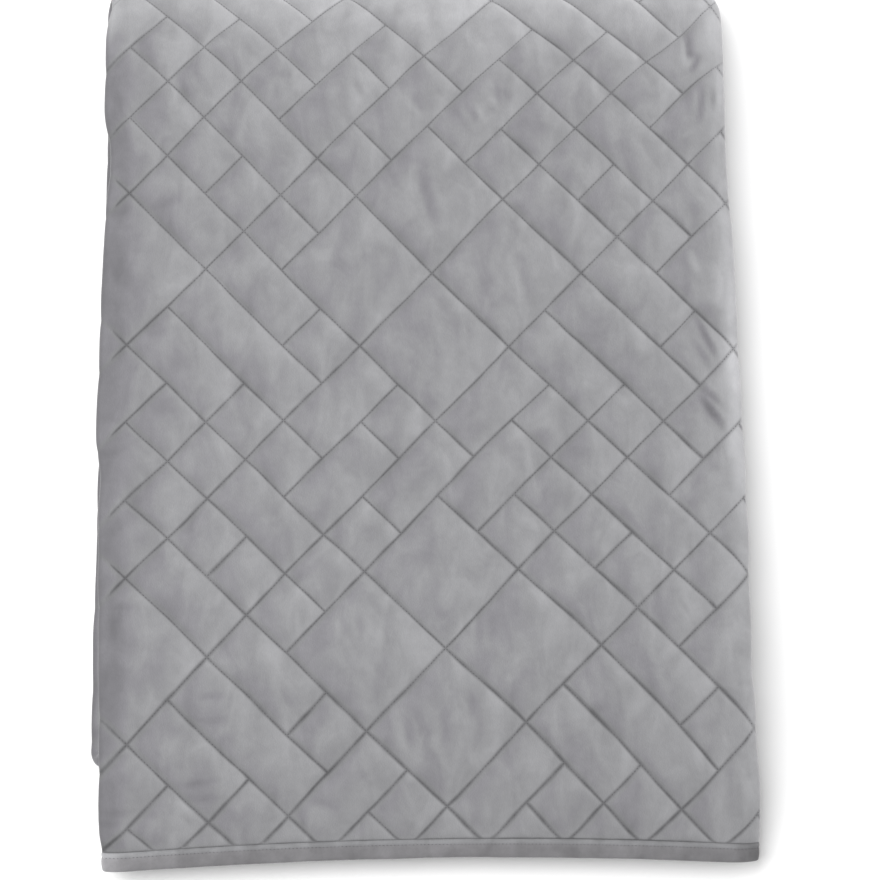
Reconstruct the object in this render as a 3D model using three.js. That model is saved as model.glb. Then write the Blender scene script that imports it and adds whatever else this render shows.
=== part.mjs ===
// Quilted bedspread with bound edges, folded in thirds both ways and lying flat.
// Millimetres, +Z up, the bound end of the top third towards -Y, origin on the surface below the middle.
import * as THREE from 'three';

// The cloth spread out flat.
const FLAT_WIDTH = 1800;
const FLAT_LENGTH = 2400;
const BINDING_WIDTH = 20;
const SEAM_GAP = 0.3;
const PANEL_WIDTH = FLAT_WIDTH - 2 * BINDING_WIDTH;
const PANEL_LENGTH = FLAT_LENGTH - 2 * BINDING_WIDTH;

// The wadded cloth and its quilting.
const CLOTH = 5.2;
const PUFF_HEIGHT = 5;
const PUFF_SHOULDER = 9;
const GROOVE_DEPTH = 1.4;
const SEAM_PINCH = 0.9;
const SEAM_PINCH_REACH = 18;
const MODULE = 52.5;
const ROW_STRETCH = 1.012;
const DIAGONAL = MODULE * Math.SQRT2;
const ROW_DIAGONAL = DIAGONAL * ROW_STRETCH;
const REPEAT = 5;
const CENTRE_COLUMN = 2.81;
const SEAM_ROW = 9.35;

// The quilted top as it is meshed: points to a diagonal of the squares, and its last rows and columns.
const GRID = 4;
const FAR_ROW = -2;
const LEFT_COLUMN = -1;
const RIGHT_COLUMN = 6.5;
const QUILT_FADE = 14;
const ROW_CLEARANCE = 8;

// One repeat of the quilting: the first square of each cell, and its squares down-right and up-right.
const QUILT_CELLS = [
  { right: 0, up: 4, wide: 2, tall: 2 },
  { right: 0, up: 6, wide: 2, tall: 2 },
  { right: 3, up: 9, wide: 2, tall: 2 },
  { right: 3, up: 1, wide: 2, tall: 2 },
  { right: 2, up: 7, wide: 3, tall: 1 },
  { right: 0, up: 0, wide: 2, tall: 1 },
  { right: 0, up: 8, wide: 2, tall: 1 },
  { right: 2, up: 6, wide: 2, tall: 1 },
  { right: 2, up: 8, wide: 2, tall: 1 },
  { right: 0, up: 2, wide: 1, tall: 2 },
  { right: 1, up: 1, wide: 1, tall: 2 },
  { right: 2, up: 2, wide: 1, tall: 2 },
  { right: 2, up: 4, wide: 1, tall: 2 },
  { right: 3, up: 3, wide: 1, tall: 2 },
];

// Folds of the width: the cloth's heading at distances from the edge of the left flap.
// The left flap lies under the middle, and the right flap under the left one.
const LEFT_DROOP_START = 542.4;
const LEFT_FOLD_START = 559.4;
const MIDDLE_START = 570.7;
const LEFT_ROLL_END = 591.2;
const MIDDLE_CENTRE = 875;
const RIGHT_ROLL_START = 1158.2;
const RIGHT_BEND_START = 1183.7;
const RIGHT_BEND_END = 1191.8;
const WIDTH_FOLDS = [
  { at: 0, heading: 180 },
  { at: LEFT_DROOP_START, heading: 180 },
  { at: LEFT_FOLD_START, heading: 208 },
  { at: MIDDLE_START, heading: 28 },
  { at: LEFT_ROLL_END, heading: 0 },
  { at: RIGHT_ROLL_START, heading: 0 },
  { at: RIGHT_BEND_START, heading: -40 },
  { at: RIGHT_BEND_END, heading: -180 },
  { at: PANEL_WIDTH, heading: -180 },
];

// Folds of the length: the heading at distances from the near seam of the top third.
// The top third droops to its bound end, rolls over at the far end, and the last third lies inside.
const DROOP_END = 208;
const FAR_BEND_START = 728;
const ROLL_START = 856;
const ROLL_END = 902;
const NEAR_FOLD_START = 1638;
const NEAR_FOLD_END = 1700;
const INNER_FLAT_START = 2012;
const LENGTH_FOLDS = [
  { at: -22, heading: 25 },
  { at: 0, heading: 22 },
  { at: 26, heading: 20 },
  { at: 52, heading: 16 },
  { at: 104, heading: 8 },
  { at: 156, heading: 2 },
  { at: DROOP_END, heading: -3 },
  { at: 312, heading: -2.5 },
  { at: 416, heading: 0 },
  { at: 520, heading: 1.5 },
  { at: 676, heading: 2 },
  { at: FAR_BEND_START, heading: 0 },
  { at: 775, heading: -6 },
  { at: 800, heading: -15 },
  { at: 837, heading: -36 },
  { at: ROLL_START, heading: -47 },
  { at: ROLL_END, heading: -180 },
  { at: NEAR_FOLD_START, heading: -180 },
  { at: NEAR_FOLD_END, heading: -358.5 },
  { at: 1742, heading: -356.5 },
  { at: 1812, heading: -361 },
  { at: 1952, heading: -361.4 },
  { at: INNER_FLAT_START, heading: -360 },
  { at: PANEL_LENGTH, heading: -360 },
];

// How far the side folds stand in (or out, below zero), as the layers aren't quite in line.
const SIDE_SETS = [
  { at: -22, left: 0, right: 0 },
  { at: 260, left: 0, right: 0 },
  { at: 760, left: 8, right: 1 },
  { at: 810, left: 9, right: 0 },
  { at: 870, left: 13, right: 3 },
  { at: 915, left: 14, right: -8 },
  { at: 1200, left: 10, right: -9 },
  { at: NEAR_FOLD_START, left: -2, right: 6 },
  { at: NEAR_FOLD_END, left: 2, right: 4 },
  { at: INNER_FLAT_START, left: 9, right: 4 },
  { at: PANEL_LENGTH, left: 18, right: 6 },
];
const HALF_FOLDED = 310;

// How far the side folds have slid to the right over the quilting, as the cloth isn't folded quite square.
const FOLD_SLIDES = [
  { at: -22, left: 3, right: 3 },
  { at: 40, left: 0, right: 5 },
  { at: 105, left: 0, right: 2 },
  { at: 160, left: 0, right: -2.5 },
  { at: 215, left: 0, right: -2 },
  { at: 300, left: 0, right: 4 },
  { at: 345, left: 3, right: 5 },
  { at: 385, left: -2, right: 6 },
  { at: 480, left: 0, right: 6.5 },
  { at: 600, left: 2.5, right: 7 },
  { at: 665, left: 7, right: 5 },
  { at: 716, left: 1, right: 6.5 },
  { at: 790, left: 2, right: 9 },
  { at: 840, left: 6, right: 13 },
  { at: 915, left: 0, right: 0 },
  { at: PANEL_LENGTH, left: 0, right: 0 },
];
const SLIDE_SPAN = RIGHT_BEND_START - MIDDLE_START;

// The bound end of the top third bows towards the viewer at its corners.
const BOW_LEFT = 10;
const BOW_LEFT_REACH = 320;
const BOW_RIGHT = 10;
const BOW_RIGHT_REACH = 130;

// The far roll stands out beyond its fold, and further at its right corner.
const FAR_PUSH = 5;
const FAR_PUSH_START = 800;
const FAR_BOW = 15;
const FAR_BOW_START = 760;
const FAR_BOW_END = 1100;

const DEGREE = Math.PI / 180;

// Value of a table's column at a distance, straight between its rows.
function tableValue(table, column, at) {
  let row = 0;
  while (row < table.length - 2 && at > table[row + 1].at) {
    row += 1;
  }
  const from = table[row];
  const to = table[row + 1];
  const share = THREE.MathUtils.clamp((at - from.at) / (to.at - from.at), 0, 1);
  return from[column] + (to[column] - from[column]) * share;
}

// A path walked along its headings: position along and up, and the way its outer face looks.
function foldPath(table, reach) {
  const step = 0.5;
  const start = table[0].at - reach;
  const count = Math.ceil((table[table.length - 1].at + reach - start) / step);
  const along = [0];
  const up = [0];
  for (let k = 0; k < count; k += 1) {
    const heading = tableValue(table, 'heading', start + (k + 0.5) * step) * DEGREE;
    along.push(along[k] + Math.cos(heading) * step);
    up.push(up[k] + Math.sin(heading) * step);
  }
  return (at) => {
    const place = THREE.MathUtils.clamp((at - start) / step, 0, count - 0.001);
    const k = Math.floor(place);
    const heading = tableValue(table, 'heading', at) * DEGREE;
    return {
      along: THREE.MathUtils.lerp(along[k], along[k + 1], place - k),
      up: THREE.MathUtils.lerp(up[k], up[k + 1], place - k),
      outAlong: -Math.sin(heading),
      outUp: Math.cos(heading),
    };
  };
}

const widthPath = foldPath(WIDTH_FOLDS, 30);
const lengthPath = foldPath(LENGTH_FOLDS, 30);
const widthOrigin = widthPath(MIDDLE_CENTRE);
const lengthOrigin = lengthPath(NEAR_FOLD_START);

// How far a point of the cloth has slid to the right over the quilting.
function foldSlide(across, along) {
  const left = tableValue(FOLD_SLIDES, 'left', along);
  const right = tableValue(FOLD_SLIDES, 'right', along);
  const share = THREE.MathUtils.clamp((across - MIDDLE_START) / SLIDE_SPAN, 0, 1);
  return left + (right - left) * share;
}

// Distance across the cloth of a point of the quilting on its top.
function clothAcross(quilted, along) {
  const left = tableValue(FOLD_SLIDES, 'left', along);
  const growth = (tableValue(FOLD_SLIDES, 'right', along) - left) / SLIDE_SPAN;
  return (quilted - left + growth * MIDDLE_START) / (1 + growth);
}

// How far a point's place along is bowed: forward at the near corners, back at the far roll.
function bowed(x, along) {
  const { smoothstep } = THREE.MathUtils;
  const corner = (x / HALF_FOLDED) ** 2;
  const farEnd = 1 - smoothstep(along, ROLL_END, FAR_BOW_END);
  const push = FAR_PUSH * smoothstep(along, FAR_PUSH_START, ROLL_START) * farEnd;
  if (x < 0) {
    return push - BOW_LEFT * corner * (1 - smoothstep(along, 0, BOW_LEFT_REACH));
  }
  const near = BOW_RIGHT * (1 - smoothstep(along, 0, BOW_RIGHT_REACH));
  const far = FAR_BOW * smoothstep(along, FAR_BOW_START, ROLL_START) * farEnd;
  return push + (far - near) * corner;
}

// Folded place of a point: across and along the flat cloth, and its height over the cloth's middle.
function foldedPoint(across, along, height) {
  const side = widthPath(across);
  const run = lengthPath(along);
  const lift = side.up - widthOrigin.up + side.outUp * height;
  const x = side.along - widthOrigin.along + side.outAlong * height + foldSlide(across, along);
  const set = tableValue(SIDE_SETS, x < 0 ? 'left' : 'right', along);
  const y = run.along - lengthOrigin.along + run.outAlong * lift + bowed(x, along);
  const z = run.up - lengthOrigin.up + run.outUp * lift + CLOTH / 2;
  return new THREE.Vector3(x - set * (x / HALF_FOLDED), y, z);
}

// The cell a quilting square belongs to; squares left out of the table stand alone.
const cellOfSquare = new Map();
const wrap = (value, size) => ((value % size) + size) % size;
function squareKey(right, up) {
  const turns = Math.floor(right / REPEAT);
  return `${right - turns * REPEAT} ${wrap(up - turns * REPEAT, 2 * REPEAT)}`;
}
for (const cell of QUILT_CELLS) {
  for (let m = 0; m < cell.wide; m += 1) {
    for (let n = 0; n < cell.tall; n += 1) {
      const place = { left: m, below: n, wide: cell.wide, tall: cell.tall };
      cellOfSquare.set(squareKey(cell.right + m, cell.up + n), place);
    }
  }
}
const LONE_SQUARE = { left: 0, below: 0, wide: 1, tall: 1 };

// Height of the quilted face over its plain level: low on the seams, high in the middle of a cell.
function quiltHeight(across, along) {
  const column = CENTRE_COLUMN + (across + foldSlide(across, along) - MIDDLE_CENTRE) / DIAGONAL;
  const row = SEAM_ROW - along / ROW_DIAGONAL;
  const right = column + row + 1e-6;
  const up = column - row + 1e-6;
  const cell = cellOfSquare.get(squareKey(Math.floor(right), Math.floor(up))) ?? LONE_SQUARE;
  const fromLeft = right - Math.floor(right) + cell.left;
  const fromBelow = up - Math.floor(up) + cell.below;
  const sides = [fromLeft, cell.wide - fromLeft, fromBelow, cell.tall - fromBelow];
  const rise = sides.reduce((share, side) => share * (1 - Math.exp((-side * MODULE) / PUFF_SHOULDER)), 1);
  return rise * PUFF_HEIGHT - GROOVE_DEPTH;
}

// Half thickness of the cloth on either face; the quilting fades where the layers are pressed together.
function faceHeight(across, along, outer) {
  const edge = Math.min(along, PANEL_LENGTH - along, across, PANEL_WIDTH - across);
  const pinch = SEAM_PINCH * Math.max(0, 1 - edge / SEAM_PINCH_REACH);
  if (!outer) {
    return -CLOTH / 2 + pinch;
  }
  const { smoothstep } = THREE.MathUtils;
  const onTop = 1 - smoothstep(along, ROLL_START - QUILT_FADE, ROLL_END - QUILT_FADE);
  const fromLeftFold = smoothstep(across, MIDDLE_START, LEFT_ROLL_END);
  const fromRightFold = 1 - smoothstep(across, RIGHT_ROLL_START, RIGHT_BEND_START);
  const nearSeam = smoothstep(along, 0, SEAM_PINCH_REACH);
  return CLOTH / 2 - pinch + quiltHeight(across, along) * onTop * fromLeftFold * fromRightFold * nearSeam;
}

// Even stops from one distance to another, the first one included.
function stops(from, to, count) {
  return Array.from({ length: count }, (_, k) => from + (to - from) * (k / count));
}

// Rows along the length and columns across the width that follow the folds.
const plainRows = [
  ...stops(0, DROOP_END / 2, 5),
  ...stops(DROOP_END / 2, DROOP_END, 3),
  ...stops(DROOP_END, FAR_BEND_START, 5),
  ...stops(FAR_BEND_START, ROLL_START, 7),
  ...stops(ROLL_START, ROLL_END, 8),
  ...stops(ROLL_END, NEAR_FOLD_START, 5),
  ...stops(NEAR_FOLD_START, NEAR_FOLD_END, 10),
  ...stops(NEAR_FOLD_END, INNER_FLAT_START, 6),
  ...stops(INNER_FLAT_START, PANEL_LENGTH, 2),
  PANEL_LENGTH,
];
const leftColumns = [
  ...stops(0, LEFT_DROOP_START, 3),
  ...stops(LEFT_DROOP_START, LEFT_FOLD_START, 2),
  ...stops(LEFT_FOLD_START, MIDDLE_START, 7),
  MIDDLE_START,
];
const rightColumns = [
  ...stops(RIGHT_BEND_START, RIGHT_BEND_END, 7),
  ...stops(RIGHT_BEND_END, PANEL_WIDTH, 3),
  PANEL_WIDTH,
];
const leftRollColumns = [THREE.MathUtils.lerp(MIDDLE_START, LEFT_ROLL_END, 0.4)];
const rightRollColumns = stops(RIGHT_ROLL_START, RIGHT_BEND_START, 3);
const middleColumns = stops(LEFT_ROLL_END, RIGHT_ROLL_START, 5);
const plainColumns = [
  ...leftColumns,
  ...leftRollColumns,
  ...middleColumns,
  ...rightRollColumns,
  ...rightColumns,
];

// Rows and columns of the quilted top, which run through the crossings of the quilting.
const quiltRows = [0];
for (let n = Math.floor(SEAM_ROW * GRID); n >= FAR_ROW * GRID; n -= 1) {
  quiltRows.push((SEAM_ROW - n / GRID) * ROW_DIAGONAL);
}
const lastQuiltRow = quiltRows[quiltRows.length - 1];
quiltRows.push(...plainRows.filter((along) => along > lastQuiltRow + ROW_CLEARANCE));
const quiltColumns = [];
for (let m = LEFT_COLUMN * GRID; m <= RIGHT_COLUMN * GRID; m += 1) {
  quiltColumns.push(MIDDLE_CENTRE + (m / GRID - CENTRE_COLUMN) * DIAGONAL);
}

// Gathers points and triangles of one closed body.
class Body {
  constructor() {
    this.points = [];
    this.corners = [];
  }

  point(across, along, height) {
    this.points.push(foldedPoint(across, along, height));
    return this.points.length - 1;
  }

  triangle(a, b, c) {
    this.corners.push(a, b, c);
  }

  // Fills the strip between two lines of points that run the same way.
  strip(first, other, flip, firstDiagonal) {
    const put = (a, b, c) => {
      const [second, third] = flip ? [c, b] : [b, c];
      this.triangle(a.index, second.index, third.index);
    };
    let i = 0;
    let j = 0;
    while (i < first.length - 1 || j < other.length - 1) {
      const a = first[i];
      const b = other[j];
      const nextA = first[i + 1];
      const nextB = other[j + 1];
      if (nextA && nextB && Math.abs(a.at - b.at) < 0.01 && Math.abs(nextA.at - nextB.at) < 0.01) {
        if (firstDiagonal(a, nextA, b, nextB)) {
          put(a, b, nextB);
          put(a, nextB, nextA);
        } else {
          put(a, b, nextA);
          put(b, nextB, nextA);
        }
        i += 1;
        j += 1;
      } else if (!nextB || (nextA && nextA.at < nextB.at)) {
        put(a, b, nextA);
        i += 1;
      } else {
        put(a, b, nextB);
        j += 1;
      }
    }
  }

  mesh(name, colour, roughness) {
    const geometry = new THREE.BufferGeometry();
    const places = this.points.flatMap((point) => point.toArray());
    geometry.setAttribute('position', new THREE.Float32BufferAttribute(places, 3));
    geometry.setIndex(this.corners);
    geometry.computeVertexNormals();
    const material = new THREE.MeshStandardMaterial({ color: colour, roughness, metalness: 0 });
    const mesh = new THREE.Mesh(geometry, material);
    mesh.name = name;
    return mesh;
  }
}

const anyDiagonal = () => true;

// Picks the diagonal that keeps a seam or a ridge of the quilting whole.
function quiltDiagonal(a, nextA, b, nextB) {
  const middle = faceHeight((a.across + b.across) / 2, (a.at + nextA.at) / 2, true);
  const one = Math.abs((a.height + nextB.height) / 2 - middle);
  const other = Math.abs((b.height + nextA.height) / 2 - middle);
  return one <= other;
}

// The quilted cloth: a raised face, a plain back and the cut edges that join them.
function quiltedPanel() {
  const body = new Body();
  const column = (acrossAt, rows, outer) => rows.map((at) => {
    const across = acrossAt(at);
    const height = faceHeight(across, at, outer);
    return { index: body.point(across, at, height), at, across, height };
  });
  const plainColumn = (across, outer) => column(() => across, plainRows, outer);
  const rollColumn = (across) => column(() => across, quiltRows, true);
  const face = [
    ...leftColumns.map((across) => plainColumn(across, true)),
    ...leftRollColumns.map(rollColumn),
    ...quiltColumns.map((quilted) => column((at) => clothAcross(quilted, at), quiltRows, true)),
    ...rightRollColumns.map(rollColumn),
    ...rightColumns.map((across) => plainColumn(across, true)),
  ];
  const back = plainColumns.map((across) => plainColumn(across, false));
  for (let k = 0; k < face.length - 1; k += 1) {
    body.strip(face[k], face[k + 1], false, quiltDiagonal);
  }
  for (let k = 0; k < back.length - 1; k += 1) {
    body.strip(back[k], back[k + 1], true, anyDiagonal);
  }
  const edge = (columns, pick) => columns.map((line) => ({ ...line.at(pick), at: line.at(pick).across }));
  body.strip(face[0], back[0], true, anyDiagonal);
  body.strip(face.at(-1), back.at(-1), false, anyDiagonal);
  body.strip(edge(face, 0), edge(back, 0), false, anyDiagonal);
  body.strip(edge(face, -1), edge(back, -1), true, anyDiagonal);
  return body.mesh('quilted_panel', '#9c9aa1', 0.9);
}

// Section of the binding: distance out from the seam and height over the cloth's middle.
const BINDING_SECTION = [
  { out: SEAM_GAP, height: -2.1 },
  { out: 4, height: -2.9 },
  { out: 14, height: -2.8 },
  { out: BINDING_WIDTH - 1, height: -1.6 },
  { out: BINDING_WIDTH, height: 0 },
  { out: BINDING_WIDTH - 1, height: 1.6 },
  { out: 14, height: 2.8 },
  { out: 4, height: 2.9 },
  { out: SEAM_GAP, height: 2.1 },
];

// A bound edge: the section carried along the edge's stops, where place gives the flat point.
function boundEdge(name, edgeStops, place, flip) {
  const body = new Body();
  const rings = edgeStops.map((at) => BINDING_SECTION.map(({ out, height }) => {
    const [across, along] = place(at, out);
    return body.point(across, along, height);
  }));
  const put = (a, b, c) => (flip ? body.triangle(a, c, b) : body.triangle(a, b, c));
  const sides = BINDING_SECTION.length;
  for (let k = 0; k < rings.length - 1; k += 1) {
    for (let n = 0; n < sides; n += 1) {
      const next = (n + 1) % sides;
      put(rings[k][n], rings[k + 1][n], rings[k + 1][next]);
      put(rings[k][n], rings[k + 1][next], rings[k][next]);
    }
  }
  for (let n = 1; n < sides - 1; n += 1) {
    put(rings[0][0], rings[0][n], rings[0][n + 1]);
    put(rings.at(-1)[0], rings.at(-1)[n + 1], rings.at(-1)[n]);
  }
  return body.mesh(name, '#86848c', 0.85);
}

// The end strips run on over the corners; the side strips stop against them.
const endStops = [-BINDING_WIDTH, ...plainColumns, PANEL_WIDTH + BINDING_WIDTH];

const bedspread = new THREE.Group();
bedspread.name = 'folded_bedspread';
bedspread.add(quiltedPanel());
bedspread.add(boundEdge('binding_top_end', endStops, (at, out) => [at, -out], false));
bedspread.add(boundEdge('binding_inner_end', endStops, (at, out) => [at, PANEL_LENGTH + out], true));
bedspread.add(boundEdge('binding_left_side', plainRows, (at, out) => [-out, at], true));
bedspread.add(boundEdge('binding_right_side', plainRows, (at, out) => [PANEL_WIDTH + out, at], false));

// Sets the origin on the resting surface, below the middle of the folded cloth.
const box = new THREE.Box3().setFromObject(bedspread);
const middle = box.getCenter(new THREE.Vector3());
for (const piece of bedspread.children) {
  piece.geometry.translate(-middle.x, -middle.y, -box.min.z);
}

export default bedspread;
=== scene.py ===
"""A grey velvet bedspread, quilted on the diagonal, bound at its edges and folded in thirds both ways.

The file is laid out as an add-on and run as a script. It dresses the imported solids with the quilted
panel, the four bindings and their stitching, and sets up a plain studio with a camera.
Tables and cloth sizes are in millimetres, Blender's own lengths in metres.
"""
import functools
import math

import bpy
import numpy as np
from mathutils import Matrix, Vector


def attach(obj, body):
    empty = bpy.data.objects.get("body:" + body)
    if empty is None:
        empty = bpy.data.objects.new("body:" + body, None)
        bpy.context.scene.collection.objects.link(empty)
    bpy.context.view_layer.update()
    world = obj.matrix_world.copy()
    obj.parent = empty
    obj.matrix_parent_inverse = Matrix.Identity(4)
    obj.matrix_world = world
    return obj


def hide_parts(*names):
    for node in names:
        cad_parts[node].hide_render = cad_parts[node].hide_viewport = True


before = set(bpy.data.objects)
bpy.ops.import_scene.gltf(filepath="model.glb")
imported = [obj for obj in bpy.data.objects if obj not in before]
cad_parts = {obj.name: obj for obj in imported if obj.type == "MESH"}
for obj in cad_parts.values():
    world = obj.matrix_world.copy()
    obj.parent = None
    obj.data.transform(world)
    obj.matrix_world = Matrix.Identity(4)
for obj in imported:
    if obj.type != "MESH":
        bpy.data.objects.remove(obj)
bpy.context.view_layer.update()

bl_info = {
    "name": "Folded quilted bedspread",
    "version": (1, 0, 0),
    "blender": (4, 5, 0),
    "location": "3D View > Sidebar > Bedspread",
    "description": "Dresses the folded bedspread in quilted velvet, bindings and stitching",
    "category": "Object",
}

MM = 0.001

# The cloth spread out flat
FLAT_WIDTH = 1800.0
FLAT_LENGTH = 2400.0
BINDING_WIDTH = 20.0
SEAM_GAP = 0.3
PANEL_WIDTH = FLAT_WIDTH - 2 * BINDING_WIDTH
PANEL_LENGTH = FLAT_LENGTH - 2 * BINDING_WIDTH
CLOTH = 5.2
SEAM_PINCH = 0.7
SEAM_PINCH_REACH = 18.0

# Folds of the width: distance from the edge of the left flap, and the cloth's heading there in degrees
LEFT_DROOP_START = 542.4
LEFT_FOLD_START = 559.4
MIDDLE_START = 570.7
LEFT_ROLL_END = 591.2
MIDDLE_CENTRE = 875.0
RIGHT_ROLL_START = 1158.2
RIGHT_BEND_START = 1183.7
RIGHT_BEND_END = 1191.8
WIDTH_FOLDS = (
    (0, 180),
    (LEFT_DROOP_START, 180),
    (LEFT_FOLD_START, 208),
    (MIDDLE_START, 28),
    (LEFT_ROLL_END, 0),
    (RIGHT_ROLL_START, 0),
    (RIGHT_BEND_START, -40),
    (RIGHT_BEND_END, -180),
    (PANEL_WIDTH, -180),
)

# Folds of the length: distance from the near seam of the top third, and the heading in degrees
ROLL_START = 856.0
ROLL_END = 902.0
NEAR_FOLD_START = 1638.0
NEAR_FOLD_END = 1700.0
LENGTH_FOLDS = (
    (-22, 25), (0, 22), (26, 20), (52, 16), (104, 8), (156, 2), (208, -3), (312, -2.5), (416, 0),
    (520, 1.5), (676, 2), (728, 0), (775, -6), (800, -15), (837, -36), (ROLL_START, -47),
    (ROLL_END, -180), (NEAR_FOLD_START, -180), (NEAR_FOLD_END, -358.5), (1742, -356.5), (1812, -361),
    (1952, -361.4), (2012, -360), (PANEL_LENGTH, -360),
)

# How far the side folds stand in, or out below zero: distance along, left side, right side
SIDE_SETS = (
    (-22, 0, 0), (80, 0, 2.5), (150, 0, 0), (215, 0, -2.5), (300, 0, 0), (760, 8, 1), (810, 9, 0),
    (870, 13, 3), (915, 14, -8), (1200, 10, -9), (1440, 0, -1), (1540, -3.5, 4),
    (NEAR_FOLD_START, -6, 6), (NEAR_FOLD_END, 2, 4), (2012, 9, 4), (PANEL_LENGTH, 18, 6),
)
HALF_FOLDED = 310.0

# How far the side folds have slid to the right over the quilting: distance along, left side, right side
FOLD_SLIDES = (
    (-22, 3, 3), (40, 0, 5), (105, 0, 2), (160, 0, -2.5), (215, 0, -2), (300, 0, 4), (345, 3, 5),
    (385, -2, 6), (480, 0, 6.5), (600, 2.5, 7), (665, 7, 5), (716, 1, 6.5), (790, 2, 9), (840, 6, 13),
    (915, 0, 0), (PANEL_LENGTH, 0, 0),
)

# The bound end of the top third bows forward at its corners
BOW_LEFT = 10.0
BOW_LEFT_REACH = 320.0
BOW_RIGHT = 10.0
BOW_RIGHT_REACH = 130.0

# The far roll stands out beyond its fold, and further at its right corner
FAR_PUSH = 5.0
FAR_PUSH_START = 800.0
FAR_BOW = 15.0
FAR_BOW_START = 760.0
FAR_BOW_END = 1100.0

# The frame's origin, below the middle of the pack, from the middle of the top and the near fold
ORIGIN_X = 5.932
ORIGIN_Y = 328.839

# The quilting: squares set on their corners, some joined into oblongs and larger squares
SQUARE = 52.5
DIAGONAL = SQUARE * math.sqrt(2)
ROW_DIAGONAL = DIAGONAL * 1.012
CENTRE_COLUMN = 2.81
SEAM_ROW = 9.35
REPEAT = 5
# One repeat: the first square of each cell, and its squares down-right and up-right
QUILT_CELLS = (
    (0, 4, 2, 2), (0, 6, 2, 2), (3, 9, 2, 2), (3, 1, 2, 2), (2, 7, 3, 1),
    (0, 0, 2, 1), (0, 8, 2, 1), (2, 6, 2, 1), (2, 8, 2, 1), (0, 2, 1, 2),
    (1, 1, 1, 2), (2, 2, 1, 2), (2, 4, 1, 2), (3, 3, 1, 2),
)

# The row of the quilting that meets the bound end: place right of the middle, and distance along
FIRST_ROWS = ((-150, 3), (90, -6), (200, -6), (310, -2))
# The rows are let out or drawn up to it over this reach, and those before it are tucked into its edge
LET_OUT_REACH = 45.0
LOWEST_ROW = -6.0
EDGE_TUCK = 0.8

# Where the quilting is pulled out of true: place right of the middle and along, reaches, shifts each way
PULLS = (
    (118, 60, 110, 130, 0, 7.5), (-282, 130, 120, 300, 0, -5), (-197, 740, 110, 90, 0, 4.2),
    (93, 720, 130, 80, 0, -3.2), (150, 825, 260, 45, 0, -6), (330, 845, 120, 60, 0, -18),
    (-250, 380, 150, 150, 2.6, -0.3), (-40, 530, 90, 110, 1.9, -1.4), (75, 540, 70, 120, -1.4, -1.6),
    (90, 310, 110, 90, -1.9, 2.5), (200, 235, 90, 60, -1.5, 0.8), (-150, 660, 110, 90, 0, 1.2),
    (-60, 90, 90, 70, -1.4, 0), (-170, 85, 70, 50, 0, -1.6), (200, 780, 90, 50, 2, 0),
    (-50, 700, 70, 60, 1.5, 0),
)
# The pulls ease off towards the side folds and the bound end
PULL_SIDE_EASE = 40.0
PULL_END_EASE = 26.0

# Creases of the top: place right of the middle and along, angle in degrees, length, width and height
CREASES = (
    (-55, 736, -56, 40, 4.5, -1.5), (-43, 737, -67, 24, 4, -1), (4, 720, -53, 46, 5, -1.8),
    (19, 715, -56, 34, 4.5, -1.2), (27, 733, -46, 26, 4, -1), (48, 714, -60, 34, 4.5, 1.3),
    (65, 712, -58, 34, 4.5, 1.5), (84, 727, -60, 36, 4.5, -1.3), (96, 725, -73, 34, 4.5, -1.2),
    (8, 622, -76, 90, 7, -2), (98, 550, -75, 44, 5, -1.2), (-84, 199, -79, 32, 4.5, -1.2),
    (-69, 198, -75, 32, 4.5, -1.3), (42, 194, -86, 48, 5, -1.4), (56, 190, -92, 56, 6, -1.2),
    (-26, 98, -80, 40, 5, -1.4), (8, 100, -90, 56, 5, -1.2), (34, 122, -92, 40, 5, -1.2),
    (64, 85, -77, 54, 5, -1.2), (281, 788, -97, 46, 4, -2.4), (285, 770, -118, 26, 3.5, -1),
    (288, 727, -99, 52, 4.5, -2), (300, 733, -99, 36, 4, -1.8), (275, 600, -86, 80, 6, -1.6),
    (278, 560, -72, 50, 5, -1.6), (287, 487, -69, 80, 4.5, 2.2), (283, 467, -60, 40, 4, 1.4),
    (286, 430, -53, 36, 4, 1.6), (288, 411, -55, 60, 4.5, 2.2), (-250, 616, 24, 40, 5, -1.6),
    (-292, 606, 60, 40, 5, -1.8), (-297, 545, 95, 46, 5, -1.8), (-295, 203, -100, 34, 4.5, -1.8),
    (-289, 220, -4, 34, 4, -1.6), (-207, 136, 0, 44, 4, -1.6), (-209, 115, 0, 44, 4, -1.2),
    (-221, 58, 6, 54, 4, -1.4), (-213, 45, 0, 50, 4, -1.3), (-292, 36, 0, 48, 4, -1.6),
    (-294, 25, 2, 44, 4, -1.6), (-230, 28, -50, 24, 4, -1.4), (300, 141, 3, 32, 4, -2),
    (302, 58, -2, 32, 4, -2), (-106, 36, -20, 44, 4.5, -2),
)

# How far the painted seam shade is eased off on seams of each slant, in millimetres: at the bound end, more
# at the far end and to the right
RISING_SHADE_EASE = (0.0, 1.25, 0.10)
FALLING_SHADE_EASE = (0.1, 0.75, -0.45)
# And on both where the cloth is drawn over its left turn: how far, right of the middle, and along
TURN_SHADE_EASE = 2.6
TURN_ACROSS = (-302.0, -293.0)
TURN_NEAR = (110.0, 150.0)
TURN_FAR = (660.0, 700.0)
# And at the seam of the binding
EDGE_SHADE_EASE = 1.2
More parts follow.
